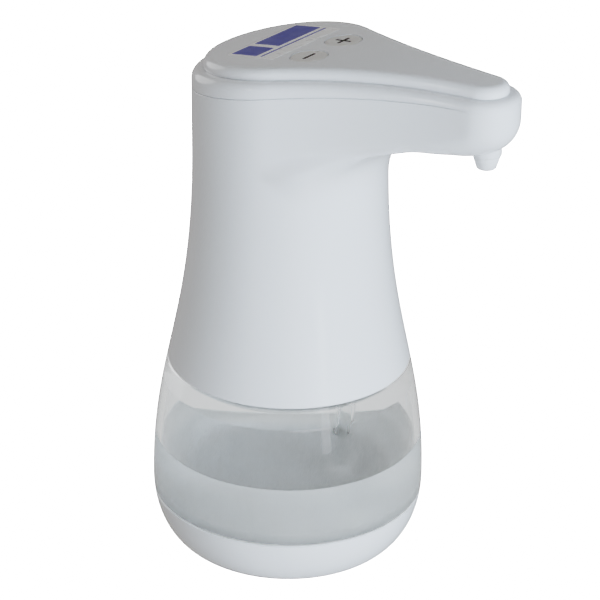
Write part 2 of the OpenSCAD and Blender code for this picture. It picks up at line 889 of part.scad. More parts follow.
foot_cup();
anti_slip_pad();
bottle();
neck_seal();
body_shell();
trim_band();
top_cover();
top_label();
cover_screws();
deck_plate();
deck_screws();
battery_box();
batteries();
battery_contacts();
battery_gasket();
battery_door();
door_contacts();
door_screw();
gear_plate();
motor_can();
motor_end_cap();
motor_magnets();
motor_terminals();
motor_shaft();
motor_armature();
motor_pinion();
pump_gear();
pump_rotor();
roller_1();
roller_2();
roller_3();
pump_housing();
pump_lid();
pump_screws();
pump_tube();
feed_tube();
delivery_tube();
suction_tube();
strainer();
nozzle_tip();
nozzle_valve();
sensor_window();
sensor_board();
ir_leds();
control_board();
tact_switches();
board_components();
wire_leads();
plus_button();
minus_button();
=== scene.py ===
"""Looks of a free-standing touchless soap dispenser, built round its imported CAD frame."""
import json
import math
import bpy
import bmesh
import numpy as np
from mathutils import Matrix, Vector
from mathutils.geometry import delaunay_2d_cdt


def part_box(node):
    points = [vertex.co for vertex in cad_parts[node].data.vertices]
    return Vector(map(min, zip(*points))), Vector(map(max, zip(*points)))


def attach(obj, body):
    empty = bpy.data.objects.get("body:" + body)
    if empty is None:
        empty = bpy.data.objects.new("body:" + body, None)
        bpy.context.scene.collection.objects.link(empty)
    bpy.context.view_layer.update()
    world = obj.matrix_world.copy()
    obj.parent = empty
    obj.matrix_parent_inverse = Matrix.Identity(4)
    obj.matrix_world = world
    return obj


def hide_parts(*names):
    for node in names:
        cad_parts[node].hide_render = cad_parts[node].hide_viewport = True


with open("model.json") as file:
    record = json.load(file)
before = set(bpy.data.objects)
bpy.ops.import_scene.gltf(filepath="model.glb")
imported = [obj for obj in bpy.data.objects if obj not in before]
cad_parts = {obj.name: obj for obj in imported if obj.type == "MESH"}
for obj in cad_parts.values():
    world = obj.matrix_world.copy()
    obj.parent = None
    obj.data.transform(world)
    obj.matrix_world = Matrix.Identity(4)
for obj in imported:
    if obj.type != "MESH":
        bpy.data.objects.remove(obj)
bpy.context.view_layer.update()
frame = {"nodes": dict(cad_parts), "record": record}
MM = 0.001


def low(node):
    """Lowest corner of a CAD node, in millimetres."""
    return [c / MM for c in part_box(node)[0]]


def high(node):
    """Highest corner of a CAD node, in millimetres."""
    return [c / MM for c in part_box(node)[1]]


# ---- Dimensions, in millimetres ---------------------------------------------
# u is the distance from the axis towards the spout, which points along -Y.

# Round body: the foot curves in, and the bell narrows from the belly to the head.
BELLY_R = high("bottle")[0]
BELLY_Z = 24
FOOT_FLAT_R = 34
FOOT_RIM_Z = high("foot_cup")[2]
FOOT_LOW_Z = low("foot_cup")[2]
PAD_TOP = high("anti_slip_pad")[2]
PAD_R = high("anti_slip_pad")[0]
CUP_FLOOR = low("bottle")[2]
SKIRT_Z = low("body_shell")[2]
BELL_END_Z = 150
BELL_LOW, BELL_HIGH = 47, 66      # handles of the bell curve at the belly and at the head
WALL = 2.0
BOTTLE_WALL = 2.4
NECK_R = 37.4
NECK_Z = high("bottle")[2]
CAVITY_Z = 6.0                    # floor of the space that holds the soap
CAVITY_SIDE_Z = 8.5
SOAP_Z = 41

# Plan outline of the head: a round back and a round tip, joined by hollow arcs.
TOP_R = high("trim_band")[0]
TIP_R = 12
TIP_U = -low("trim_band")[1] - TIP_R
SIDE_R = 186

# Tiers and seam: both follow large arcs, the crown's and the seam's.
BAND_H, TOP_H, TIER_IN = 5.3, 8.9, 4.0
BAND_EDGE, COVER_EDGE = 3.0, 2.5
CROWN_R, CROWN_U = 575, 92
COVER_END_U = -low("top_cover")[1]
CROWN_Z = high("top_cover")[2] - math.sqrt((CROWN_R + TOP_H) ** 2 - (COVER_END_U - CROWN_U) ** 2)
SEAM_Z, SEAM_U, SEAM_GAP = 177.1, 111, 0.12

# Arm: its underside rises from the body to a level tip, with a slight swell before the nozzle.
UNDER_NEAR_Z, UNDER_FAR_Z, UNDER_FAR_U, TIP_LOW_Z = 158.8, 170.1, 67, 169.9
UNDER_BLEND = 2.0
SWELL, SWELL_IN, SWELL_OUT = 1.6, (56, 70), (74, 86)
EDGE_R = 7.5
EDGE_THINNER, THINNER_SPAN = 3.0, (36, 56)
EDGE_ROUNDER, ROUNDER_SPAN = 7.0, (62, 84)
FILLET, FILLET_SPAN, FILLET_FADE = 16, (6, 26), (-6, 1)
BELL_LEAN = 0.97                  # turns a sideways distance into one square to the bell

# Nozzle, sensor window, buttons.
NOZZLE_U = -(low("nozzle_tip")[1] + high("nozzle_tip")[1]) / 2
BOSS_R, BOSS_Z = 4.9, 168.7
SENSOR_U = -(low("sensor_window")[1] + high("sensor_window")[1]) / 2
SENSOR_HOLE = 3.2
BUTTON_X = (low("plus_button")[0] + high("plus_button")[0]) / 2
BUTTON_U = 14.7
BUTTON_R = 6.2
BUTTON_HOLE = 6.45
CAP_RISE, CAP_DISH = 0.02, 0.10
HOLE_LEAD = 0.25
TILT = math.asin((CROWN_U - BUTTON_U) / (CROWN_R + TOP_H))
SIDES = (-1, 1)

# Mesh fineness.
BACK_COLS, SIDE_COLS, TIP_COLS = 64, 64, 20
SHELL_ROWS, SHELL_ROUNDS = 150, 70
CORNER_STEPS, BELL_ROWS = 7, 40
FAN = 0.2                         # how far the shell's columns spread over the bell under the arm
HALF_LESS = 0.45                  # share of the gap to the bell that a corner or a fillet may take
MIN_GAP, MAX_FILLET = 0.4, 9.0
BODY_STEPS, SMALL_STEPS, HOLE_STEPS = 192, 72, 64


def turns(n):
    """n angles evenly spaced round a circle."""
    return np.linspace(0, 2 * math.pi, n, endpoint=False)


def crown(u, h):
    """Height of the crowned top, h above the trim band's foot."""
    return CROWN_Z + np.sqrt((CROWN_R + h) ** 2 - (np.asarray(u, float) - CROWN_U) ** 2)


def seam(u, h):
    """Height of the joint between the shell and the trim band, h above its middle."""
    u = np.asarray(u, float)
    return SEAM_Z - math.sqrt(CROWN_R ** 2 - SEAM_U ** 2) + np.sqrt((CROWN_R + h) ** 2 - (u - SEAM_U) ** 2)


# ---- The outside's shape ----------------------------------------------------
def bell_table(steps=400):
    """Heights and radii along the bell curve, a cubic with upright ends."""
    t = np.linspace(0, 1, steps)
    b = [(1 - t) ** 3, 3 * t * (1 - t) ** 2, 3 * t * t * (1 - t), t ** 3]
    r = (b[0] + b[1]) * BELLY_R + (b[2] + b[3]) * TOP_R
    z = b[0] * BELLY_Z + b[1] * (BELLY_Z + BELL_LOW) + b[2] * (BELL_END_Z - BELL_HIGH) + b[3] * BELL_END_Z
    return z, r


BELL = bell_table()


def outside(z):
    """Radius of the round body at a height."""
    z = np.asarray(z, float)
    foot = FOOT_FLAT_R + (BELLY_R - FOOT_FLAT_R) * np.sqrt(
        np.clip(1 - ((BELLY_Z - np.minimum(z, BELLY_Z)) / BELLY_Z) ** 2, 0, 1))
    return np.where(z < BELLY_Z, foot, np.interp(z, BELL[0], BELL[1]))


def wall_line(z0, z1, n, inset):
    """Profile points of a wall set in from the outside, from one height to another."""
    return [(float(outside(z)) - inset, z) for z in np.linspace(z0, z1, n)]


# Centre of the hollow arc at the head's side, and where it touches the back's and the tip's circles.
SIDE_U = ((TOP_R + SIDE_R) ** 2 - (TIP_R + SIDE_R) ** 2 + TIP_U ** 2) / (2 * TIP_U)
SIDE_X = math.sqrt((TOP_R + SIDE_R) ** 2 - SIDE_U ** 2)
TOUCH_BODY = math.atan2(SIDE_X, SIDE_U)
TOUCH_TIP = math.atan2(SIDE_X, SIDE_U - TIP_U)


def outline_half():
    """Points and outward normals along one half of the plan outline, from the tip to the back."""
    pts, nrm = [], []
    for a in np.linspace(0, TOUCH_TIP, TIP_COLS, endpoint=False):
        n = np.array([math.sin(a), math.cos(a)])
        pts.append(np.array([0, TIP_U]) + TIP_R * n)
        nrm.append(n)
    side = np.array([SIDE_X, SIDE_U])
    start = math.atan2(-SIDE_X, TIP_U - SIDE_U)
    end = math.atan2(-SIDE_X, -SIDE_U)
    for a in np.linspace(start, end, SIDE_COLS, endpoint=False):
        n = np.array([math.sin(a), math.cos(a)])
        pts.append(side + SIDE_R * n)
        nrm.append(-n)
    for a in np.linspace(TOUCH_BODY, math.pi, BACK_COLS):
        n = np.array([math.sin(a), math.cos(a)])
        pts.append(TOP_R * n)
        nrm.append(n)
    return np.array(pts), np.array(nrm)


def outline():
    """Closed plan outline as (x, u) points with outward normals."""
    p, n = outline_half()
    flip = np.array([-1, 1])
    return np.concatenate([p, (p * flip)[-2:0:-1]]), np.concatenate([n, (n * flip)[-2:0:-1]])


def outline_distance(x, u):
    """Signed distance to the plan outline, negative inside."""
    x = np.abs(x)
    base = np.hypot(x, u) - TOP_R
    tip = np.hypot(x, u - TIP_U) - TIP_R
    side = SIDE_R - np.hypot(x - SIDE_X, u - SIDE_U)
    on_base = SIDE_X * u - SIDE_U * x <= 0
    on_tip = SIDE_X * (u - TIP_U) - (SIDE_U - TIP_U) * x > 0
    return np.where(on_base, base, np.where(on_tip, tip, side))


def ease(span, t):
    """Soft step from 0 to 1 over a span."""
    t = np.clip((t - span[0]) / (span[1] - span[0]), 0, 1)
    return t * t * (3 - 2 * t)


def smooth_min(a, b, k):
    """The smaller of two values, blended where they differ by less than k."""
    h = np.clip(0.5 + 0.5 * (b - a) / np.maximum(k, 1e-6), 0, 1)
    return b * (1 - h) + a * h - k * h * (1 - h)


def underside(u):
    """Height of the arm's lowest line."""
    line = UNDER_NEAR_Z + (UNDER_FAR_Z - UNDER_NEAR_Z) / (UNDER_FAR_U - TOP_R) * (u - TOP_R)
    swell = SWELL * ease(SWELL_IN, u) * (1 - ease(SWELL_OUT, u))
    return smooth_min(line, TIP_LOW_Z + 0 * u, UNDER_BLEND) - swell


def edge_radius(u):
    """Radius of the arm's lower edge: a soft corner by the body, almost a ball at the tip."""
    return EDGE_R - EDGE_THINNER * ease(THINNER_SPAN, u) + EDGE_ROUNDER * ease(ROUNDER_SPAN, u)


def shell_field(p):
    """Negative inside the body shell: bell and arm, joined by a soft fillet."""
    x, u, z = p[:, 0], -p[:, 1], p[:, 2]
    bell = (np.hypot(x, u) - outside(z)) * BELL_LEAN
    side = outline_distance(x, u)
    under = underside(u) - z
    r = edge_radius(u)
    corner = np.hypot(np.maximum(side + r, 0), np.maximum(under + r, 0)) - r
    arm = np.where((side > -r) & (under > -r), corner, np.maximum(side, under))
    k = FILLET * ease(FILLET_SPAN, u) * ease(FILLET_FADE, under - side)
    return smooth_min(bell, arm, k)


def onto_shell(p, steps):
    """Moves points onto the shell's surface along its gradient."""
    d, flattest = 0.02, 0.05
    for _ in range(steps):
        f = shell_field(p)
        g = np.stack([(shell_field(p + e) - shell_field(p - e)) / (2 * d) for e in np.eye(3) * d], 1)
        p = p - g * (f / np.maximum((g * g).sum(1), flattest))[:, None]
    return p


def even(path, n):
    """n points evenly spaced along each path (paths, points, 3)."""
    out = np.empty((len(path), n, 3))
    for i, p in enumerate(path):
        s = np.concatenate([[0], np.cumsum(np.linalg.norm(np.diff(p, axis=0), axis=1))])
        t = np.linspace(0, s[-1], n)
        for c in range(3):
            out[i, :, c] = np.interp(t, s, p[:, c])
    return out


def under_arm(u, x, nx, share):
    """For a column under the arm: its gap to the bell, its edge radius and its place on the bell."""
    gap = u - math.sqrt(TOP_R ** 2 - x * x)
    r = min(float(edge_radius(u)), HALF_LESS * gap)
    bent = math.asin(np.clip((abs(x) - abs(nx) * r) / TOP_R, 0, 1))
    angle = math.copysign(bent + FAN * (TOUCH_BODY * share - bent), x)
    return gap, r, TOP_R * np.array([math.sin(angle), math.cos(angle)])


def shell_path(point, normal, share):
    """Guess at one column's path: seam, side, lower edge, underside, fillet and bell."""
    (x, u), (nx, nu) = point, normal
    if u < TOP_R * math.cos(TOUCH_BODY) + 1e-6 or abs(x) > TOP_R * math.sin(TOUCH_BODY):
        base, gap = np.array([x, u]), 0.0
    else:
        gap, r, base = under_arm(u, x, nx, share)
    zb = float(underside(u))
    pts = [(x, u, float(seam(u, 0)))]
    if gap > MIN_GAP:
        f = min(MAX_FILLET, HALF_LESS * gap)
        for a in np.linspace(math.pi / 2, 0, CORNER_STEPS):
            inset = r * (1 - math.sin(a))
            pts.append((x - nx * inset, u - nu * inset, zb + r - r * math.cos(a)))
        way = base * (1 + f / TOP_R)
        pts.append((way[0], way[1], float(underside(way[1]))))
        pts.append((base[0], base[1], float(underside(base[1])) - f))
    else:
        pts.append((base[0], base[1], zb))
    for z in np.linspace(pts[-1][2], SKIRT_Z, BELL_ROWS)[1:]:
        scale = float(outside(z)) / TOP_R
        pts.append((base[0] * scale, base[1] * scale, z))
    return np.array([(p, -q, z) for p, q, z in pts])


def shell_grid():
    """Columns that run from the seam down over the arm's side, its underside and the bell."""
    keep, even_every = 0.3, 6
    plan, nrm = outline()
    half = TIP_COLS + SIDE_COLS
    order = np.minimum(np.arange(len(plan)), len(plan) - np.arange(len(plan)))
    paths = [shell_path(p, n, min(k / half, 1)) for p, n, k in zip(plan, nrm, order)]
    grid = even(paths, SHELL_ROWS)
    for k in range(SHELL_ROUNDS):
        inner = grid[:, 1:-1]
        grid[:, 1:-1] = onto_shell(inner.reshape(-1, 3), 2).reshape(inner.shape)
        around = (np.roll(grid, 1, 0) + np.roll(grid, -1, 0))[:, 1:-1] + grid[:, 2:] + grid[:, :-2]
        grid[:, 1:-1] = grid[:, 1:-1] * keep + around / 4 * (1 - keep)
        if k % even_every == even_every - 1:
            grid = even(grid, SHELL_ROWS)
    inner = grid[:, 1:-1]
    grid[:, 1:-1] = onto_shell(inner.reshape(-1, 3), 8).reshape(inner.shape)
    return grid


# ---- Mesh helpers -----------------------------------------------------------
def mesh_object(name, verts, faces, crease):
    """An object from millimetre points, smooth except at edges sharper than the crease angle."""
    mesh = bpy.data.meshes.new(name)
    mesh.from_pydata([tuple(c * MM for c in v) for v in verts], [], faces)
    mesh.validate()
    bm = bmesh.new()
    bm.from_mesh(mesh)
    bmesh.ops.remove_doubles(bm, verts=bm.verts, dist=1e-6)
    bmesh.ops.recalc_face_normals(bm, faces=bm.faces)
    bm.to_mesh(mesh)
    bm.free()
    mesh.shade_smooth()
    mesh.set_sharp_from_angle(angle=math.radians(crease))
    obj = bpy.data.objects.new(name, mesh)
    bpy.context.collection.objects.link(obj)
    return obj


def grid_faces(cols, rows, wrap_rows=False, start=0):
    """Faces of a grid whose points run down each column, and whose last column meets the first."""
    faces = []
    for i in range(cols):
        for j in range(rows if wrap_rows else rows - 1):
            a, b = i * rows + j, ((i + 1) % cols) * rows + j
            c, d = ((i + 1) % cols) * rows + (j + 1) % rows, i * rows + (j + 1) % rows
            faces.append((start + a, start + d, start + c, start + b))
    return faces


def revolve(name, profile, steps, centre=(0, 0), closed=False):
    """A solid of revolution from (radius, height) points."""
    crease = 40
    prof = [(max(r, 0.0), z) for r, z in profile]
    verts = []
    for i in range(steps):
        a = 2 * math.pi * i / steps
        verts += [(centre[0] + r * math.sin(a), centre[1] - r * math.cos(a), z) for r, z in prof]
    return mesh_object(name, verts, grid_faces(steps, len(prof), closed), crease)


def apply_modifiers(obj):
    """Makes the modifiers' result the object's own mesh."""
    dg = bpy.context.evaluated_depsgraph_get()
    mesh = bpy.data.meshes.new_from_object(obj.evaluated_get(dg))
    old = obj.data
    obj.modifiers.clear()
    obj.data = mesh
    bpy.data.meshes.remove(old)


def put(piece, body, slot, material, *nodes):
    """Gives a new piece its body and material, and hides the CAD nodes that it stands for; slot is not
    used.
    """
    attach(piece, body)
    piece.data.materials.clear()
    piece.data.materials.append(material)
    if nodes:
        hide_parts(*nodes)


def arc(cx, cy, r, a0, a1, n):
    """Points on an arc, angles in degrees."""
    angles = np.radians(np.linspace(a0, a1, n))
    return [(cx + r * math.cos(a), cy + r * math.sin(a)) for a in angles]


def rounded(x0, u0, x1, u1, r, n=5):
    """A rectangle's outline with round corners."""
    corners = [(x1 - r, u1 - r, 0), (x0 + r, u1 - r, 90), (x0 + r, u0 + r, 180), (x1 - r, u0 + r, 270)]
    return [q for cx, cy, t in corners for q in arc(cx, cy, r, t, t + 90, n)]


def inside(loop, x, u):
    """Whether a point lies in a closed outline."""
    odd = False
    for (x0, u0), (x1, u1) in zip(loop, loop[1:] + loop[:1]):
        if (u0 > u) != (u1 > u) and x < x0 + (x1 - x0) * (u - u0) / (u1 - u0):
            odd = not odd
    return odd


def chain(loops):
    """All points of some closed outlines, and the edges that join them."""
    pts, edges = [], []
    for loop in loops:
        first = len(pts)
        pts += loop
        edges += [(first + i, first + (i + 1) % len(loop)) for i in range(len(loop))]
    return pts, edges


def densify(shape, step):
    """Closed outline with no edge much longer than a step."""
    dense = []
    for i, p in enumerate(shape):
        q = shape[(i + 1) % len(shape)]
        n = max(1, int(math.hypot(q[0] - p[0], q[1] - p[1]) / step))
        dense += [(p[0] + (q[0] - p[0]) * k / n, p[1] + (q[1] - p[1]) * k / n) for k in range(n)]
    return dense


# ---- Materials --------------------------------------------------------------
def shader(name, **sockets):
    """A new material and its main shader, with some of its sockets set."""
    mat = bpy.data.materials.new(name)
    mat.use_nodes = True
    bsdf = mat.node_tree.nodes["Principled BSDF"]
    for key, value in sockets.items():
        bsdf.inputs[key.replace("_", " ")].default_value = value
    return mat, mat.node_tree.nodes, mat.node_tree.links, bsdf


def noise(nodes, links, scale, detail):
    """Cloudy noise fixed to the object."""
    coord = nodes.new("ShaderNodeTexCoord")
    tex = nodes.new("ShaderNodeTexNoise")
    tex.inputs["Scale"].default_value = scale
    tex.inputs["Detail"].default_value = detail
    links.new(coord.outputs["Object"], tex.inputs["Vector"])
    return tex.outputs["Fac"]


def spread(nodes, links, fac, lo, hi):
    """Maps a 0.3 to 0.7 noise onto lo to hi."""
    m = nodes.new("ShaderNodeMapRange")
    for key, value in (("From Min", 0.3), ("From Max", 0.7), ("To Min", lo), ("To Max", hi)):
        m.inputs[key].default_value = value
    links.new(fac, m.inputs["Value"])
    return m.outputs["Result"]


def tint(nodes, links, fac, first, second):
    """Blends two colours by a noise."""
    mix = nodes.new("ShaderNodeMix")
    mix.data_type = "RGBA"
    mix.inputs["A"].default_value = (*first, 1)
    mix.inputs["B"].default_value = (*second, 1)
    links.new(fac, mix.inputs["Factor"])
    return mix.outputs["Result"]


def bump(nodes, links, bsdf, height, distance, strength=1.0):
    """Relief of a given depth, in metres."""
    b = nodes.new("ShaderNodeBump")
    b.inputs["Distance"].default_value = distance
    b.inputs["Strength"].default_value = strength
    links.new(height, b.inputs["Height"])
    links.new(b.outputs["Normal"], bsdf.inputs["Normal"])


def moulded(name, colour, rough, uneven=0.05, coat=0.0, grain=900, depth=4e-6, drift=0.03, specular=0.5):
    """Moulded plastic: slow colour drift, uneven polish and a fine moulded skin."""
    drift_scale, polish_scale = 28, 160
    mat, nodes, links, bsdf = shader(name, Roughness=rough, Coat_Weight=coat, Coat_Roughness=0.08,
                                     Specular_IOR_Level=specular)
    slow = noise(nodes, links, drift_scale, 2)
    darker = [c * (1 - drift) for c in colour]
    links.new(tint(nodes, links, slow, darker, colour), bsdf.inputs["Base Color"])
    polish = noise(nodes, links, polish_scale, 4)
    links.new(spread(nodes, links, polish, rough - uneven, rough + uneven), bsdf.inputs["Roughness"])
    bump(nodes, links, bsdf, noise(nodes, links, grain, 2), depth)
    return mat


def clear(name, colour, ior, rough=0.02):
    """Clear plastic: a faint drift of tint, uneven polish and slow waves in the surface."""
    drift_scale, polish_scale, wave_scale, wave_depth, drift = 40, 90, 60, 1.5e-7, 0.985
    mat, nodes, links, bsdf = shader(name, IOR=ior, Roughness=rough, Transmission_Weight=1.0)
    slow = noise(nodes, links, drift_scale, 2)
    links.new(tint(nodes, links, slow, [c * drift for c in colour], colour), bsdf.inputs["Base Color"])
    polish = noise(nodes, links, polish_scale, 3)
    links.new(spread(nodes, links, polish, rough * 0.5, rough * 1.6), bsdf.inputs["Roughness"])
    bump(nodes, links, bsdf, noise(nodes, links, wave_scale, 2), wave_depth)
    return mat


def metal(name, colour, rough, stretch=30):
    """Metal with fine drawn lines and dull patches."""
    line_scale, patch_scale, line_depth, dull = 300, 120, 1e-5, 0.8
    mat, nodes, links, bsdf = shader(name, Metallic=1.0, Roughness=rough)
    coord = nodes.new("ShaderNodeTexCoord")
    mapping = nodes.new("ShaderNodeMapping")
    mapping.inputs["Scale"].default_value = (1, 1, stretch)
    links.new(coord.outputs["Object"], mapping.inputs["Vector"])
    lines = nodes.new("ShaderNodeTexNoise")
    lines.inputs["Scale"].default_value = line_scale
    links.new(mapping.outputs["Vector"], lines.inputs["Vector"])
    patches = noise(nodes, links, patch_scale, 3)
    links.new(tint(nodes, links, patches, [c * dull for c in colour], colour), bsdf.inputs["Base Color"])
    polish = spread(nodes, links, lines.outputs["Fac"], rough - 0.08, rough + 0.12)
    links.new(polish, bsdf.inputs["Roughness"])
    bump(nodes, links, bsdf, lines.outputs["Fac"], line_depth, 0.5)
    return mat


def milky_soap():
    """Milky soap: mostly clear, a little cloudy, with slow swirls."""
    swirl_scale, polish_scale, swirl_depth = 22, 60, 2e-7
    mat, nodes, links, bsdf = shader("soap", IOR=1.36, Roughness=0.3, Transmission_Weight=0.75)
    swirl = noise(nodes, links, swirl_scale, 3)
    colour = tint(nodes, links, swirl, (0.885, 0.915, 0.91), (0.94, 0.96, 0.955))
    links.new(colour, bsdf.inputs["Base Color"])
    polish = noise(nodes, links, polish_scale, 2)
    links.new(spread(nodes, links, polish, 0.3, 0.36), bsdf.inputs["Roughness"])
    bump(nodes, links, bsdf, swirl, swirl_depth)
    return mat


# Moulded: roughness, its unevenness, coat, grain scale, grain depth in metres, colour drift.
MATERIALS = {
    "white_plastic": moulded("white_gloss", (0.79, 0.815, 0.865), 0.16, 0.03, 0.3, 2400, 1.2e-6),
    # cover_plastic is the white plastic darkened to grey: painted shade for the crowned top, which gets
    # less light than the sides.
    "cover_plastic": moulded("cover_painted_shade", (0.50, 0.495, 0.485), 0.34, 0.05, 0.05, 2600, 8e-7),
    "button_plastic": moulded("button_gloss", (0.66, 0.655, 0.64), 0.3, 0.05, 0.05, 2600, 8e-7),
    "clear_plastic": clear("clear_bottle", (0.985, 0.99, 0.992), 1.49),
    "tube_plastic": clear("clear_tube", (0.95, 0.965, 0.965), 1.45, 0.08),
    "soap": milky_soap(),
    "silicone": moulded("silicone", (0.78, 0.79, 0.79), 0.5, 0.08, 0.0, 1400, 8e-6, 0.05),
    "grey_rubber": moulded("grey_rubber", (0.07, 0.07, 0.075), 0.75, 0.1, 0.0, 1500, 2e-5, 0.2),
    "inner_plastic": moulded("inner_plastic", (0.66, 0.66, 0.65), 0.45, 0.08, 0.0, 1300, 1e-5, 0.05),
    "gear_plastic": moulded("gear_plastic", (0.74, 0.70, 0.60), 0.42, 0.06, 0.0, 1000, 6e-6, 0.05),
    "black_plastic": moulded("black_plastic", (0.012, 0.012, 0.014), 0.18, 0.05, 0.3, 1000, 4e-6, 0.2),
    "ink": moulded("mark_ink", (0.022, 0.018, 0.017), 0.7, 0.08, 0.0, 1800, 3e-6, 0.3, 0.12),
    "pale_film": moulded("label_pale_film", (0.93, 0.93, 0.95), 0.28, 0.05, 0.2, 1500, 3e-6, 0.05),
    "label_film": moulded("label_violet", (0.042, 0.026, 0.33), 0.4, 0.06, 0.0, 1600, 3e-6, 0.12),
    "steel": metal("zinc_steel", (0.56, 0.56, 0.57), 0.34),
    "nickel": metal("nickel_strip", (0.66, 0.64, 0.60), 0.25),
    "brass": metal("brass", (0.70, 0.50, 0.20), 0.3),
    "copper": metal("copper_wire", (0.72, 0.34, 0.16), 0.35, 60),
    "magnet": moulded("ferrite", (0.03, 0.03, 0.032), 0.6, 0.1, 0.0, 2000, 2e-5, 0.3),
    "battery_jacket": metal("battery_jacket", (0.50, 0.36, 0.12), 0.3),
    "board_green": moulded("solder_mask", (0.02, 0.14, 0.05), 0.3, 0.06, 0.2, 700, 6e-6, 0.3),
    "led_blue": moulded("led_lens", (0.03, 0.035, 0.10), 0.12, 0.03, 0.4),
    "wire_red": moulded("wire_red", (0.38, 0.02, 0.015), 0.4, 0.06, 0.0, 1200, 4e-6, 0.15),
}
SLOT_OF = {row["node"]: row["material_slot"] for row in frame["record"]["subparts"]}


def dress_frame():
    """Every CAD node gets its slot's procedural material."""
    for node, obj in frame["nodes"].items():
        obj.data.materials.clear()
        obj.data.materials.append(MATERIALS[SLOT_OF[node]])


# ---- Head -------------------------------------------------------------------
def add_body_shell():
    """Bell and arm in one moulding, with a wall, soft edges and the sensor's hole."""
    hole_low, hole_high = 150, 178
    grid = shell_grid()
    cols, rows = grid.shape[:2]
    shell = mesh_object("body_shell_skin", grid.reshape(-1, 3), grid_faces(cols, rows), 35)
    solid = shell.modifiers.new("wall", "SOLIDIFY")
    solid.thickness = WALL * MM
    solid.offset = -1
    edge = shell.modifiers.new("edge", "BEVEL")
    edge.width = 0.25 * MM
    edge.segments = 3
    edge.limit_method = "ANGLE"
    edge.angle_limit = math.radians(50)
    profile = [(0, hole_low), (SENSOR_HOLE, hole_low), (SENSOR_HOLE, hole_high), (0, hole_high)]
    hole = revolve("sensor_hole", profile, HOLE_STEPS, (0, -SENSOR_U))
    cut = shell.modifiers.new("sensor", "BOOLEAN")
    cut.object = hole
    cut.operation = "DIFFERENCE"
    apply_modifiers(shell)
    bpy.data.objects.remove(hole)
    shell.data.set_sharp_from_angle(angle=math.radians(60))
    put(shell, "head", "white_plastic", MATERIALS["white_plastic"], "body_shell")


def tier_loft(layers, closed):
    """Lofts sections round the plan outline: each layer is a surface and its (inset, height) points."""
    plan, nrm = outline()
    verts = []
    for p, n in zip(plan, nrm):
        for surface, section in layers:
            for inset, h in section:
                x, u = p - n * inset
                verts.append((x, -u, float(surface(u, h))))
    rows = sum(len(section) for _, section in layers)
    return verts, grid_faces(len(plan), rows, closed)


def add_trim_band():
    """Middle tier: a rounded upper edge that follows the crown, and a foot that follows the seam."""
    lap, lip = 0.25, 0.5
    inner = TIER_IN + lap
    upper = [(inner, BAND_H), (TIER_IN - lip, BAND_H)]
    upper += [(BAND_EDGE - BAND_EDGE * math.sin(a), BAND_H - BAND_EDGE + BAND_EDGE * math.cos(a))
              for a in np.radians(np.linspace(0, 90, 12))]
    lower = [(0, SEAM_GAP + 0.25), (0.08, SEAM_GAP + 0.1)]
    lower += [(inset, SEAM_GAP) for inset in (0.3, 1.2, inner)]
    verts, faces = tier_loft(((crown, upper), (seam, lower)), True)
    band = mesh_object("trim_band_skin", verts, faces, 50)
    put(band, "head", "white_plastic", MATERIALS["white_plastic"], "trim_band")


def rim_loop(extra=0.0):
    """Plan outline of the flat part of the cover, inside its rounded rim."""
    plan, nrm = outline()
    return [tuple(p - n * (TIER_IN + COVER_EDGE + extra)) for p, n in zip(plan, nrm)]


def hole_point(s, grow, a):
    """Point in plan on a button hole's edge, grown by a distance; s is the button's side."""
    r = BUTTON_HOLE + grow
    return s * BUTTON_X + r * math.cos(a), BUTTON_U + r * math.sin(a) * math.cos(TILT)


def hole_loops(grow):
    """Plan outlines of both button holes, grown by a distance."""
    return [[hole_point(s, grow, a) for a in turns(HOLE_STEPS)] for s in SIDES]


def cover_top():
    """Points and faces of the cover's top, between its rim and the two button holes."""
    step, rim_clear, hole_clear, slack = 2.4, 1.2, 1, 0.05
    pts, edges = chain([rim_loop()] + hole_loops(HOLE_LEAD))
    across, ahead = math.ceil(TOP_R / step), math.ceil((TIP_U + TIP_R) / step)
    limit = -(TIER_IN + COVER_EDGE + rim_clear)
    for i in range(-across, across + 1):
        for j in range(-across, ahead + 1):
            x, u = i * step + (j % 2) * step / 2, j * step
            apart = min(math.hypot(x - s * BUTTON_X, u - BUTTON_U) for s in SIDES)
            within = float(outline_distance(np.array(x), np.array(u))) < limit
            if within and apart > BUTTON_HOLE + HOLE_LEAD + hole_clear:
                pts.append((x, u))
    out, _, tri, *_ = delaunay_2d_cdt([Vector(p) for p in pts], edges, [], 2, 1e-5)
    faces = []
    for face in tri:
        x = sum(out[k][0] for k in face) / len(face)
        u = sum(out[k][1] for k in face) / len(face)
        apart = min(math.hypot(x - s * BUTTON_X, (u - BUTTON_U) / math.cos(TILT)) for s in SIDES)
        if apart > BUTTON_HOLE + HOLE_LEAD - slack:
            faces.append(tuple(face))
    return [(p[0], -p[1], float(crown(p[1], TOP_H))) for p in out], faces


def hole_wall(s):
    """Points of one button hole's wall, with a small lead-in edge."""
    levels = [(HOLE_LEAD, 0.0), (HOLE_LEAD * 0.3, -0.08), (0.0, -HOLE_LEAD), (0.0, -1.8)]
    axis = np.array([0, math.sin(TILT), math.cos(TILT)])
    verts = []
    for a in turns(HOLE_STEPS):
        for grow, down in levels:
            x, u = hole_point(s, grow, a)
            verts.append(tuple(np.array([x, -u, float(crown(u, TOP_H))]) + axis * down))
    return verts, len(levels)


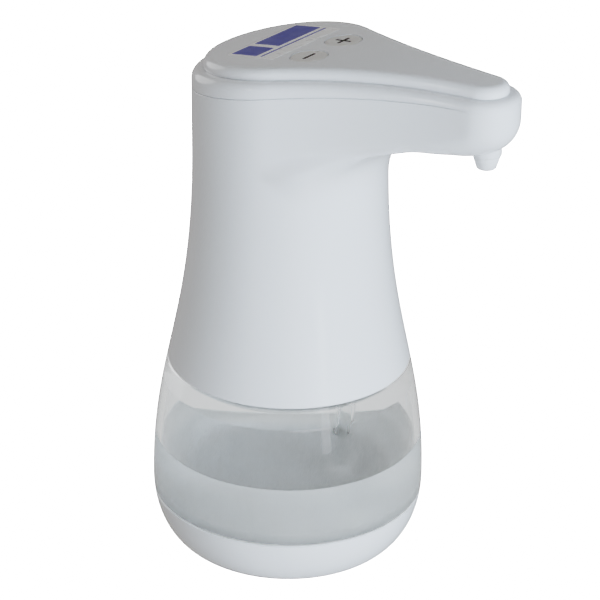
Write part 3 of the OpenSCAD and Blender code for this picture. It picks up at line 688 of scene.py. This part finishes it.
def add_top_cover():
    """Upper tier: a side wall, a rounded rim and a crowned top with two button holes."""
    tuck, gap, sink, lift = 2.2, 0.35, 2.4, 0.12
    foot, edge = BAND_H - sink, COVER_EDGE
    section = [(TIER_IN + tuck, foot), (TIER_IN + gap, foot), (TIER_IN + gap, BAND_H + lift)]
    section += [(TIER_IN, BAND_H + lift), (TIER_IN, TOP_H - edge)]
    section += [(TIER_IN + edge - edge * math.cos(a), TOP_H - edge + edge * math.sin(a))
                for a in np.radians(np.linspace(12, 90, 8))]
    verts, faces = tier_loft(((crown, section),), False)
    top, top_faces = cover_top()
    faces += [tuple(k + len(verts) for k in face) for face in top_faces]
    verts += top
    for s in SIDES:
        wall, levels = hole_wall(s)
        faces += grid_faces(HOLE_STEPS, levels, False, len(verts))
        verts += wall
    cover = mesh_object("top_cover_skin", verts, faces, 40)
    put(cover, "head", "white_plastic", MATERIALS["white_plastic"], "top_cover")


def top_place():
    """Place on the crowned top, at the buttons' line, with z along the outward normal."""
    place = Vector((0, -BUTTON_U, float(crown(BUTTON_U, TOP_H))))
    return Matrix.Translation(place * MM) @ Matrix.Rotation(-TILT, 4, "X")


def dish(r):
    """Height of a button's face at a radius: a little hollow in the middle."""
    return CAP_RISE - CAP_DISH * (1 - (min(r, BUTTON_R) / BUTTON_R) ** 2)


def add_buttons():
    """Round caps with a soft rim and a flange under the cover, and their printed marks."""
    edge, stem_r, stem_low, flange_r, flange_low, flange_top = 0.45, 2, -4.9, BUTTON_R + 1.1, -2.9, -1.95
    for name, s in (("plus_button", 1), ("minus_button", -1)):
        prof = [(0, stem_low), (stem_r, stem_low), (stem_r, flange_low), (flange_r, flange_low),
                (flange_r, flange_top), (BUTTON_R, flange_top)]
        prof += [(BUTTON_R - edge + edge * math.cos(a), -edge + edge * math.sin(a))
                 for a in np.radians(np.linspace(0, 90, 6))]
        prof += [(r, dish(r)) for r in np.linspace(BUTTON_R - edge - 0.4, 0, 8)]
        cap = revolve(name + "_cap", prof, SMALL_STEPS, (s * BUTTON_X, 0))
        cap.data.transform(top_place())
        put(cap, name, "button_plastic", MATERIALS["button_plastic"], name)
        add_mark(name + "_mark", name, s)


def add_mark(name, body, s):
    """Printed + on the button at the right or - on the other, a hair above the cap."""
    l, w, lift, thick = 3.1, 0.52, 0.03, 0.06
    if s > 0:
        shape = [(w, l), (-w, l), (-w, w), (-l, w), (-l, -w), (-w, -w),
                 (-w, -l), (w, -l), (w, -w), (l, -w), (l, w), (w, w)]
    else:
        shape = rounded(-l, -w, l, w, w * 0.35, 4)
    n = len(shape)
    face = [dish(math.hypot(x, y)) for x, y in shape]
    verts = [(s * BUTTON_X + x, y, h + rise) for rise in (-thick, lift) for (x, y), h in zip(shape, face)]
    faces = [tuple(range(n - 1, -1, -1)), tuple(range(n, 2 * n))]
    faces += [(i, (i + 1) % n, n + (i + 1) % n, n + i) for i in range(n)]
    mark = mesh_object(name, verts, faces, 30)
    mark.data.transform(top_place())
    put(mark, body, "black_plastic", MATERIALS["ink"])


def curved_plate(name, shape, h0, h1, step=1.0, holes=()):
    """A thin plate that follows the crowned top, from a closed (x, u) outline and round holes."""
    edge_clear = 0.6 * step
    loops = [densify(shape, step), *holes]
    pts, edges = chain(loops)
    xs, us = ([p[k] for p in loops[0]] for k in (0, 1))

    def on_plate(x, u):
        return inside(loops[0], x, u) and not any(inside(hole, x, u) for hole in holes)

    for u in np.arange(min(us) + step, max(us) - step / 2, step):
        for x in np.arange(min(xs) + step, max(xs) - step / 2, step):
            near = min(float(np.hypot(*(np.array(loop) - (x, u)).T).min()) for loop in loops)
            if near > edge_clear and on_plate(x, u):
                pts.append((x, u))
    out, _, tri, *_ = delaunay_2d_cdt([Vector(p) for p in pts], edges, [], 1, 1e-5)
    tri = [f for f in tri if on_plate(sum(out[k][0] for k in f) / 3, sum(out[k][1] for k in f) / 3)]
    m = len(out)
    verts = [(p[0], -p[1], float(crown(p[1], h))) for h in (h0, h1) for p in out]
    faces = [tuple(reversed(f)) for f in tri] + [tuple(k + m for k in f) for f in tri]
    faces += [(a, b, m + b, m + a) for a, b in edges]
    plate = mesh_object(name, verts, faces, 30)
    crown_shading(plate.data)
    return plate


def crown_shading(mesh):
    """Shades a plate's two faces as the smooth crown, and its edge as it is."""
    flat = 0.8
    normals = []
    for face in mesh.polygons:
        for k in face.vertices:
            p = mesh.vertices[k].co
            out = Vector((0, p.y + CROWN_U * MM, p.z - CROWN_Z * MM)).normalized()
            along = face.normal.dot(out)
            normals.append(out if along > flat else -out if along < -flat else face.normal.copy())
    mesh.normals_split_custom_set(normals)


def add_top_face():
    """The even top skin of the cover, inside its rounded rim."""
    gap, under, over, step = 0.05, 0.05, 0.03, 3.0
    face = curved_plate("top_face", rim_loop(gap), TOP_H - under, TOP_H + over, step, hole_loops(gap))
    put(face, "head", "white_plastic", MATERIALS["white_plastic"])


def add_label():
    """A plain sticker: a pale film with violet blocks and no text."""
    x0, x1 = low("top_label")[0], high("top_label")[0]
    u0, u1 = -high("top_label")[1], -low("top_label")[1]
    film = curved_plate("label_film", rounded(x0, u0, x1, u1, 1.2), TOP_H - 0.05, TOP_H + 0.08)
    put(film, "head", "cover_plastic", MATERIALS["pale_film"], "top_label")
    left, right, split = x0 + 1.5, x1 - 1, (-6.0, -3.5)
    block_low, block_high, line_low, line_high = u0 + 1.0, u0 + 11.5, u0 + 13.2, u0 + 14.0
    blocks = {
        "label_block_wide": rounded(split[1], block_low, right, block_high, 0.5),
        "label_block_small": rounded(left, block_low, split[0], block_high, 0.5),
        "label_line": rounded(left, line_low, right, line_high, 0.3),
    }
    for name, shape in blocks.items():
        block = curved_plate(name, shape, TOP_H + 0.02, TOP_H + 0.12)
        put(block, "head", "label_film", MATERIALS["label_film"])


def add_nozzle():
    """Cone of the nozzle with its lip and the stem that goes up into the arm, and a low collar."""
    bore, lip_r, cone_r, stem_r = 1.7, 3.0, 4.5, 3.5
    z0, top = low("nozzle_tip")[2], high("nozzle_tip")[2]
    prof = [(bore, z0 + 0.35), (bore + 0.3, z0), (lip_r, z0), (lip_r + 0.3, z0 + 0.3), (cone_r, z0 + 4.1)]
    prof += [(cone_r - 0.1, z0 + 4.4), (stem_r, z0 + 4.6), (stem_r, top), (bore, top)]
    tip = revolve("nozzle_skin", prof, SMALL_STEPS, (0, -NOZZLE_U), True)
    put(tip, "head", "white_plastic", MATERIALS["white_plastic"], "nozzle_tip")
    inner, top = 3.7, BOSS_Z + 5
    boss = [(BOSS_R - 0.5, BOSS_Z - 0.1), (BOSS_R - 0.15, BOSS_Z + 0.1), (BOSS_R, BOSS_Z + 0.5)]
    boss += [(BOSS_R, top), (inner, top), (inner, BOSS_Z + 0.1), (inner + 0.5, BOSS_Z - 0.1)]
    collar = revolve("nozzle_collar", boss, SMALL_STEPS, (0, -NOZZLE_U), True)
    put(collar, "head", "white_plastic", MATERIALS["white_plastic"])


# ---- Bottle, soap and foot --------------------------------------------------
def add_bottle():
    """Clear bottle: sits in the foot, runs flush with it and the skirt, and ends in a neck."""
    edge, corner = 0.5, 3.0
    skin = wall_line(FOOT_RIM_Z + 0.35, SKIRT_Z - 0.7, 60, 0)
    lip = float(outside(SKIRT_Z - 0.4))
    shoulder = [(lip - 0.12, SKIRT_Z - 0.45), (lip - 0.5, SKIRT_Z - 0.28), (lip - 1.4, SKIRT_Z - 0.2)]
    bore = NECK_R - BOTTLE_WALL
    neck = [(NECK_R + 0.6, SKIRT_Z - 0.1), (NECK_R, SKIRT_Z + 0.4), (NECK_R, NECK_Z - edge)]
    neck += [(NECK_R - edge, NECK_Z), (bore + edge, NECK_Z), (bore, NECK_Z - edge), (bore, SKIRT_Z)]
    inner = wall_line(SKIRT_Z - 8, FOOT_RIM_Z + 3, 40, BOTTLE_WALL)
    inner += wall_line(FOOT_RIM_Z, CAVITY_SIDE_Z, 12, WALL + BOTTLE_WALL)
    r = inner[-1][0]
    inner += [(r - corner + corner * math.cos(a), CAVITY_Z + 2.2 - 2.2 * math.sin(a))
              for a in np.radians([15, 35, 60, 90])]
    inner += [(r * k, CAVITY_Z) for k in (0.6, 0.3, 0)]
    cup = wall_line(CUP_FLOOR + 1.0, FOOT_RIM_Z - 0.2, 14, WALL + 0.1)
    bottom = [(0, CUP_FLOOR), (cup[0][0] * 0.6, CUP_FLOOR), (cup[0][0] - 1.2, CUP_FLOOR)]
    step = [(cup[-1][0], FOOT_RIM_Z + 0.1), (float(outside(FOOT_RIM_Z)) - 0.35, FOOT_RIM_Z + 0.12)]
    profile = bottom + cup + step + skin + shoulder + neck + inner
    bottle = revolve("bottle_skin", profile, BODY_STEPS)
    bottle.visible_shadow = False
    put(bottle, "root", "clear_plastic", MATERIALS["clear_plastic"], "bottle")


def add_soap():
    """Soap up to its level, wet to the bottle's wall, with a small meniscus."""
    over = 0.12
    floor = CAVITY_Z - over
    wall = wall_line(CAVITY_SIDE_Z, FOOT_RIM_Z, 12, WALL + BOTTLE_WALL - over)
    wall += wall_line(FOOT_RIM_Z + 3, SOAP_Z + 0.6, 12, BOTTLE_WALL - over)
    r, r0 = wall[-1][0], wall[0][0]
    top = [(r - 0.5, SOAP_Z + 0.25), (r - 1.2, SOAP_Z + 0.05)]
    top += [(reach, SOAP_Z) for reach in (r - 2.5, r * 0.5, 0)]
    bottom = [(reach, floor) for reach in (0, r0 * 0.5, r0 - 3)]
    bottom += [(r0 - 1.2, floor + 0.72), (r0 - 0.3, floor + 1.62)]
    soap = revolve("soap_liquid", bottom + wall + top, BODY_STEPS)
    soap.visible_shadow = False
    put(soap, "root", "clear_plastic", MATERIALS["soap"])


def add_foot():
    """Rounded foot: a cup that holds the bottle, with a recess for the pad underneath."""
    skin = wall_line(FOOT_LOW_Z + 0.3, FOOT_RIM_Z - 0.35, 40, 0)
    rim = [(float(outside(FOOT_RIM_Z)) - 0.35, FOOT_RIM_Z - 0.02)]
    inner = wall_line(FOOT_RIM_Z - 0.02, CUP_FLOOR + 1.5, 12, WALL)
    floor = [(inner[-1][0] - 1.2, CUP_FLOOR), (0, CUP_FLOOR)]
    recess = PAD_R + 0.2
    under = [(0, PAD_TOP), (recess, PAD_TOP), (recess, FOOT_LOW_Z + 0.15)]
    under += [(PAD_R + 0.5, FOOT_LOW_Z), (FOOT_FLAT_R + 1.2, FOOT_LOW_Z)]
    foot = revolve("foot_cup_skin", under + skin + rim + inner + floor, BODY_STEPS)
    put(foot, "root", "white_plastic", MATERIALS["white_plastic"], "foot_cup")


# ---- Stage, light and camera, in metres -------------------------------------
SPOUT_TURN = math.radians(38.5)   # how far the spout turns from the picture's right towards the camera
RIGHT = Vector((math.sin(SPOUT_TURN), -math.cos(SPOUT_TURN), 0))
AWAY = Vector((math.cos(SPOUT_TURN), math.sin(SPOUT_TURN), 0))
UP = Vector((0, 0, 1))
CAMERA_AWAY, CAMERA_UP = 0.850, 0.5164
PITCH, YAW, ROLL = 26.565, 0.253, 0.60
LENS, FILM_WIDTH, FAR_END = 163.94, 36, 20
FLOOR_SIZE, FLOOR_RISE, FLOOR_BEND, FLOOR_GLOW = 3.0, 2.2, 0.8, 40.0
DOME_R, DOME_LOW = 4.4, -0.35
CARD_SIZE, CARD_DROP, CARD_GLOW = 1.5, 0.020, 1.3
SKY_COLOUR = (1.0, 0.975, 0.93)
SKY_LOW, SKY_HIGH = 0.44, 0.30
SKY_FROM, SKY_TO = 0.05, 0.7

# Place to the right, away and up from the object, height of its aim, width, watts, colour.
LAMPS = {
    "key": (1.05, -1.15, 0.27, 0.1, 1.3, 69, (0.74, 0.87, 1.0)),
    "gloss": (0.83, -1.32, 0.3, 0.1, 0.2, 3, (0.85, 0.93, 1.0)),
    "top": (0.2, 0.2, 1.3, 0.1, 0.8, 1.6, (1.0, 0.88, 0.76)),
    "rim": (-1.0, 0.9, 0.4, 0.1, 0.9, 5, (0.95, 0.97, 1.0)),
    "spark": (-1.0, -0.75, 0.55, 0.1, 0.12, 1.6, (1.0, 1.0, 0.98)),
    "bounce": (0.25, -0.7, 0.05, 0.02, 0.5, 5.5, (0.85, 0.93, 1.0)),
}


def stage_paper(name, first, second, glow_colour, glow):
    """Matt paper that shines by itself, slightly uneven in tone."""
    mat, nodes, links, bsdf = shader(name, Roughness=0.9)
    links.new(tint(nodes, links, noise(nodes, links, 3, 2), first, second), bsdf.inputs["Base Color"])
    bsdf.inputs["Emission Color"].default_value = (*glow_colour, 1)
    bsdf.inputs["Emission Strength"].default_value = glow
    return mat


def stage_object(name, points, faces, paper, *hidden):
    """A piece of the stage from points in metres, left out of some kinds of ray."""
    obj = mesh_object(name, [tuple(c / MM for c in p) for p in points], faces, 60)
    obj.data.materials.append(paper)
    for ray in hidden:
        setattr(obj, "visible_" + ray, False)
    return obj


def add_floor(paper):
    """A pale floor that bends up into a wall behind the object."""
    rows = [(-FLOOR_SIZE, 0.0)]
    rows += [(FLOOR_SIZE - FLOOR_BEND + FLOOR_BEND * math.sin(a), FLOOR_BEND - FLOOR_BEND * math.cos(a))
             for a in np.radians(np.linspace(0, 90, 16))]
    rows += [(FLOOR_SIZE, FLOOR_RISE)]
    points = [AWAY * d + RIGHT * s + UP * z for d, z in rows for s in (-FLOOR_SIZE, FLOOR_SIZE)]
    faces = [(2 * i, 2 * i + 1, 2 * i + 3, 2 * i + 2) for i in range(len(rows) - 1)]
    floor = stage_object("studio_floor", points, faces, paper, "diffuse", "glossy", "transmission")


def add_dome(paper):
    """A pale dome round the stage, seen by the camera only, so that no side has a grey backdrop."""
    cols, rows = 64, 16
    points = [(DOME_R * math.cos(a) * math.cos(b), DOME_R * math.cos(a) * math.sin(b), DOME_R * math.sin(a))
              for b in turns(cols) for a in np.linspace(DOME_LOW, math.pi / 2, rows)]
    dome = stage_object("studio_dome", points, grid_faces(cols, rows), paper,
                        "diffuse", "glossy", "transmission", "shadow", "volume_scatter")


def add_card():
    """A soft grey card under the floor, seen only through the clear parts."""
    steps = 64
    paper = stage_paper("card_paper", (0.5, 0.5, 0.51), (0.52, 0.52, 0.53), (0.94, 0.98, 1), CARD_GLOW)
    points = [(CARD_SIZE * math.cos(a), CARD_SIZE * math.sin(a), -CARD_DROP) for a in turns(steps)]
    card = stage_object("studio_card", points, [tuple(range(steps))], paper,
                        "camera", "diffuse", "glossy", "shadow", "volume_scatter")


def add_camera():
    """Camera at the photograph's place, turned by its yaw, pitch and roll."""
    p, y, r = (math.radians(a) for a in (PITCH, YAW, ROLL))
    ahead = (RIGHT * math.sin(y) + AWAY * math.cos(y)) * math.cos(p) - UP * math.sin(p)
    side = RIGHT * math.cos(y) - AWAY * math.sin(y)
    top = side.cross(ahead)
    side, top = side * math.cos(r) + top * math.sin(r), top * math.cos(r) - side * math.sin(r)
    data = bpy.data.cameras.new("camera")
    data.lens = LENS
    data.sensor_width = FILM_WIDTH
    data.clip_end = FAR_END
    cam = bpy.data.objects.new("camera", data)
    basis = Matrix((side, top, -ahead)).transposed().to_4x4()
    cam.matrix_world = Matrix.Translation(AWAY * -CAMERA_AWAY + UP * CAMERA_UP) @ basis
    bpy.context.collection.objects.link(cam)
    bpy.context.scene.camera = cam


def add_lamp(name, right, away, up, aim, size, power, colour):
    """A round area lamp that looks at a point on the object's axis."""
    data = bpy.data.lights.new(name, "AREA")
    data.shape = "DISK"
    data.size = size
    data.energy = power
    data.color = colour
    lamp = bpy.data.objects.new(name, data)
    lamp.location = RIGHT * right + AWAY * away + UP * up
    lamp.rotation_mode = "QUATERNION"
    lamp.rotation_quaternion = (UP * aim - lamp.location).to_track_quat("-Z", "Y")
    bpy.context.collection.objects.link(lamp)
    return lamp


def add_lights():
    """Soft lamps: the key and the bounce give no reflection, and a tall strip gives the gloss."""
    lamps = {name: add_lamp(name, *values) for name, values in LAMPS.items()}
    lamps["key"].visible_glossy = lamps["key"].visible_transmission = False
    lamps["bounce"].visible_glossy = False
    lamps["gloss"].data.shape = "RECTANGLE"
    lamps["gloss"].data.size_y = 1.2
    lamps["gloss"].visible_diffuse = False


def add_sky():
    """Even soft light from all round, a little stronger from the sides than from above."""
    world = bpy.data.worlds.new("studio")
    world.use_nodes = True
    nodes, links = world.node_tree.nodes, world.node_tree.links
    nodes["Background"].inputs["Color"].default_value = (*SKY_COLOUR, 1)
    split = nodes.new("ShaderNodeSeparateXYZ")
    links.new(nodes.new("ShaderNodeTexCoord").outputs["Generated"], split.inputs["Vector"])
    fall = nodes.new("ShaderNodeMapRange")
    spans = (("From Min", SKY_FROM), ("From Max", SKY_TO), ("To Min", SKY_LOW), ("To Max", SKY_HIGH))
    for key, value in spans:
        fall.inputs[key].default_value = value
    links.new(split.outputs["Z"], fall.inputs["Value"])
    links.new(fall.outputs["Result"], nodes["Background"].inputs["Strength"])
    bpy.context.scene.world = world


dress_frame()
add_body_shell()
add_trim_band()
add_top_cover()
add_top_face()
add_buttons()
add_label()
add_bottle()
add_soap()
add_foot()
add_nozzle()
WHITE_PAPER = stage_paper("studio_paper", (0.88, 0.88, 0.89), (0.9, 0.9, 0.905), (1, 1, 1), FLOOR_GLOW)
add_floor(WHITE_PAPER)
add_dome(WHITE_PAPER)
add_card()
add_camera()
add_lights()
add_sky()
